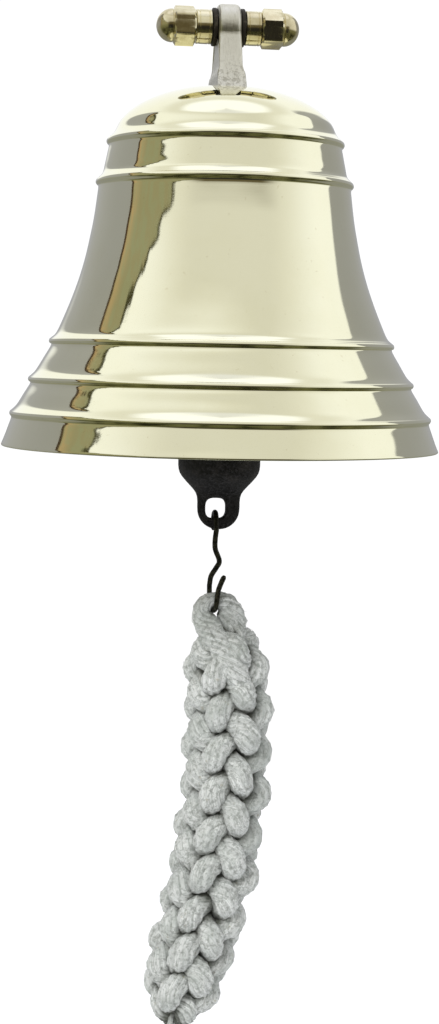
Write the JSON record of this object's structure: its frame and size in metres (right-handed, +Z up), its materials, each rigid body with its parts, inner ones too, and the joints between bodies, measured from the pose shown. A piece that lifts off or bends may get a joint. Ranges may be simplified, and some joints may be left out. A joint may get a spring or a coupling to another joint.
{
  "type": "ship bell",
  "caption": "Hanging ship's bell: turned brass bell with bead rings on a cross-bolted lug, with a swinging clapper, wire hook and plaited cotton lanyard.",
  "frame": {"origin": "middle of the cross bolt that the bell hangs on", "axes": "+X along the cross bolt, +Z up, -Y towards the front; the bell's axis is -Z"},
  "size_m": [0.2032, 0.2032, 0.477],
  "materials": {
    "polished_brass": "polished",
    "satin_brass": "satin, cast",
    "brass_fittings": "turned, slightly tarnished",
    "dark_washer": "blackened",
    "steel": "zinc plated",
    "black_iron": "black, cast skin",
    "dark_wire": "dark bronze lacquer",
    "leather": "oiled",
    "plaited_cotton": "natural cotton, slightly grey"
  },
  "bodies": {
    "hanger": {"hanger_bolt": "steel", "cap_nut_left": "brass_fittings", "cap_nut_right": "brass_fittings", "spacer_left": "brass_fittings", "spacer_right": "brass_fittings", "thrust_washer_left": "dark_washer", "thrust_washer_right": "dark_washer"},
    "bell": {"bell_body": "polished_brass", "crown_lug": "satin_brass", "leather_washer": "leather", "crown_washer": "steel", "spring_washer": "steel", "crown_nut": "steel", "clapper_clevis": "brass_fittings", "clevis_pin": "steel", "clevis_split_pin": "steel"},
    "clapper": {"clapper_rod": "black_iron", "clapper_jam_nut": "steel", "clapper_bob": "black_iron"},
    "hook": {"s_hook": "dark_wire"},
    "pull": {"lanyard": "plaited_cotton"}
  },
  "joints": [
    {"name": "bell_swing", "type": "hinge", "parent": "hanger", "child": "bell", "pos_m": [0, 0, 0], "axis": [1, 0, 0], "range_deg": [-60, 60]},
    {"name": "clapper_swing", "type": "hinge", "parent": "bell", "child": "clapper", "pos_m": [0, 0, -0.068], "axis": [1, 0, 0], "range_deg": [-31, 31]},
    {"name": "hook_swing", "type": "hinge", "parent": "clapper", "child": "hook", "pos_m": [-0.0015, 0, -0.2288], "axis": [1, 0, 0], "range_deg": [-45, 45]},
    {"name": "lanyard_swing", "type": "hinge", "parent": "hook", "child": "pull", "pos_m": [-0.0016, 0, -0.2696], "axis": [0, 1, 0], "range_deg": [-45, 45]}
  ]
}
